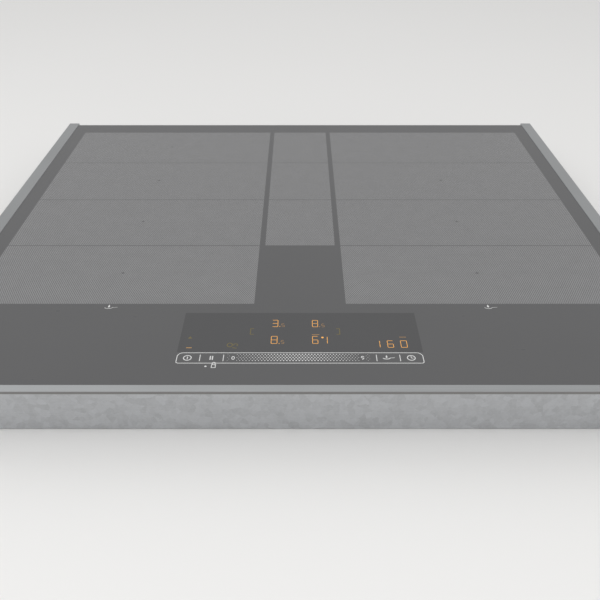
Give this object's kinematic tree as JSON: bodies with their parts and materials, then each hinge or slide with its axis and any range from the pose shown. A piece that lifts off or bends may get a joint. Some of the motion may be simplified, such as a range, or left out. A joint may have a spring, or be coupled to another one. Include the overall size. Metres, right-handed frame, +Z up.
{
  "type": "induction cooktop",
  "caption": "Built-in induction cooktop: flat dark glass with metal trims, long flexible cooking zones, a touch and display strip at the front, and a shallow vented steel casing below.",
  "frame": {"origin": "middle of the casing underside", "axes": "+X to the right of someone standing in front, +Y to the back, +Z up out of the glass"},
  "size_m": [0.602, 0.52, 0.0566],
  "materials": {
    "glass_ceramic": "dark grey glass-ceramic, satin gloss",
    "zone_print": "fine light dot print on the glass",
    "display_tint": "darker tinted window in the glass",
    "white_print": "thin white print",
    "trim_metal": "satin anodised profile",
    "seal_foam": "soft closed-cell foam",
    "silicone": "black silicone",
    "sheet_steel": "zinc coated steel sheet",
    "fastener_steel": "zinc plated",
    "clamp_steel": "spring steel strip",
    "bare_aluminium": "mill finish",
    "litz_copper": "enamelled stranded copper",
    "ferrite": "dark sintered ferrite",
    "fibre_mat": "pale fibre felt",
    "mica": "pressed mica sheet",
    "white_plastic": "white moulded plastic",
    "black_plastic": "black moulded plastic",
    "rotor_plastic": "dark glass-filled plastic",
    "cover_plastic": "black moulded cover",
    "bush_plastic": "dark grey bush",
    "circuit_board": "green board lacquer",
    "component_plastic": "blue component cases",
    "spring_steel": "bright spring contacts",
    "brass_screw": "brass terminal screws",
    "ribbon": "grey flat cable"
  },
  "bodies": {
    "cooktop": {"board_posts": "white_plastic", "cable_bush": "bush_plastic", "casing_screws": "fastener_steel", "casing_tray": "sheet_steel", "centre_coil_plate": "bare_aluminium", "centre_coils": "litz_copper", "centre_ferrites": "ferrite", "centre_zone_print": "zone_print", "clamp_nuts": "fastener_steel", "clamp_screws": "fastener_steel", "coil_plate_pads": "silicone", "control_board": "circuit_board", "control_carrier": "black_plastic", "control_ribbon": "ribbon", "cover_hinge_pin": "fastener_steel", "crossbars": "bare_aluminium", "display_light_box": "white_plastic", "display_window": "display_tint", "filter_board": "circuit_board", "filter_chokes": "ferrite", "front_trim": "trim_metal", "glass_adhesive": "silicone", "glass_frame": "sheet_steel", "glass_panel": "glass_ceramic", "insulating_mats": "fibre_mat", "left_blower_housing": "black_plastic", "left_board_parts": "component_plastic", "left_coil_plate": "bare_aluminium", "left_coils": "litz_copper", "left_ferrites": "ferrite", "left_heat_sink": "bare_aluminium", "left_power_board": "circuit_board", "left_side_trim": "trim_metal", "left_zone_print": "zone_print", "mica_sheets": "mica", "rear_trim": "trim_metal", "right_blower_housing": "black_plastic", "right_board_parts": "component_plastic", "right_coil_plate": "bare_aluminium", "right_coils": "litz_copper", "right_ferrites": "ferrite", "right_heat_sink": "bare_aluminium", "right_power_board": "circuit_board", "right_side_trim": "trim_metal", "right_zone_print": "zone_print", "temperature_sensors": "white_plastic", "terminal_block": "white_plastic", "terminal_box": "black_plastic", "terminal_screws": "brass_screw", "touch_bar_print": "white_print", "touch_contacts": "spring_steel", "worktop_seal": "seal_foam"},
    "left_rotor": {"left_blower_rotor": "rotor_plastic"},
    "right_rotor": {"right_blower_rotor": "rotor_plastic"},
    "cover": {"terminal_cover": "cover_plastic"},
    "clamp_front_left": {"front_left_clamp": "clamp_steel"},
    "clamp_front_right": {"front_right_clamp": "clamp_steel"},
    "clamp_rear_left": {"rear_left_clamp": "clamp_steel"},
    "clamp_rear_right": {"rear_right_clamp": "clamp_steel"}
  },
  "joints": [
    {"name": "left_rotor_spin", "type": "hinge", "parent": "cooktop", "child": "left_rotor", "pos_m": [-0.058, 0.1832, 0.012], "axis": [0, 0, 1], "continuous": true},
    {"name": "right_rotor_spin", "type": "hinge", "parent": "cooktop", "child": "right_rotor", "pos_m": [0.058, 0.1832, 0.012], "axis": [0, 0, 1], "continuous": true},
    {"name": "terminal_cover_hinge", "type": "hinge", "parent": "cooktop", "child": "cover", "pos_m": [-0.2329, 0.2462, 0.0041], "axis": [-1, 0, 0], "range_deg": [0, 95]},
    {"name": "front_left_clamp_swing", "type": "hinge", "parent": "cooktop", "child": "clamp_front_left", "pos_m": [-0.268, -0.1805, 0.0045], "axis": [0, 0, 1], "range_deg": [0, 90]},
    {"name": "front_right_clamp_swing", "type": "hinge", "parent": "cooktop", "child": "clamp_front_right", "pos_m": [0.268, -0.1805, 0.0045], "axis": [0, 0, -1], "range_deg": [0, 90]},
    {"name": "rear_left_clamp_swing", "type": "hinge", "parent": "cooktop", "child": "clamp_rear_left", "pos_m": [-0.268, 0.1555, 0.0045], "axis": [0, 0, 1], "range_deg": [0, 90]},
    {"name": "rear_right_clamp_swing", "type": "hinge", "parent": "cooktop", "child": "clamp_rear_right", "pos_m": [0.268, 0.1555, 0.0045], "axis": [0, 0, -1], "range_deg": [0, 90]}
  ]
}
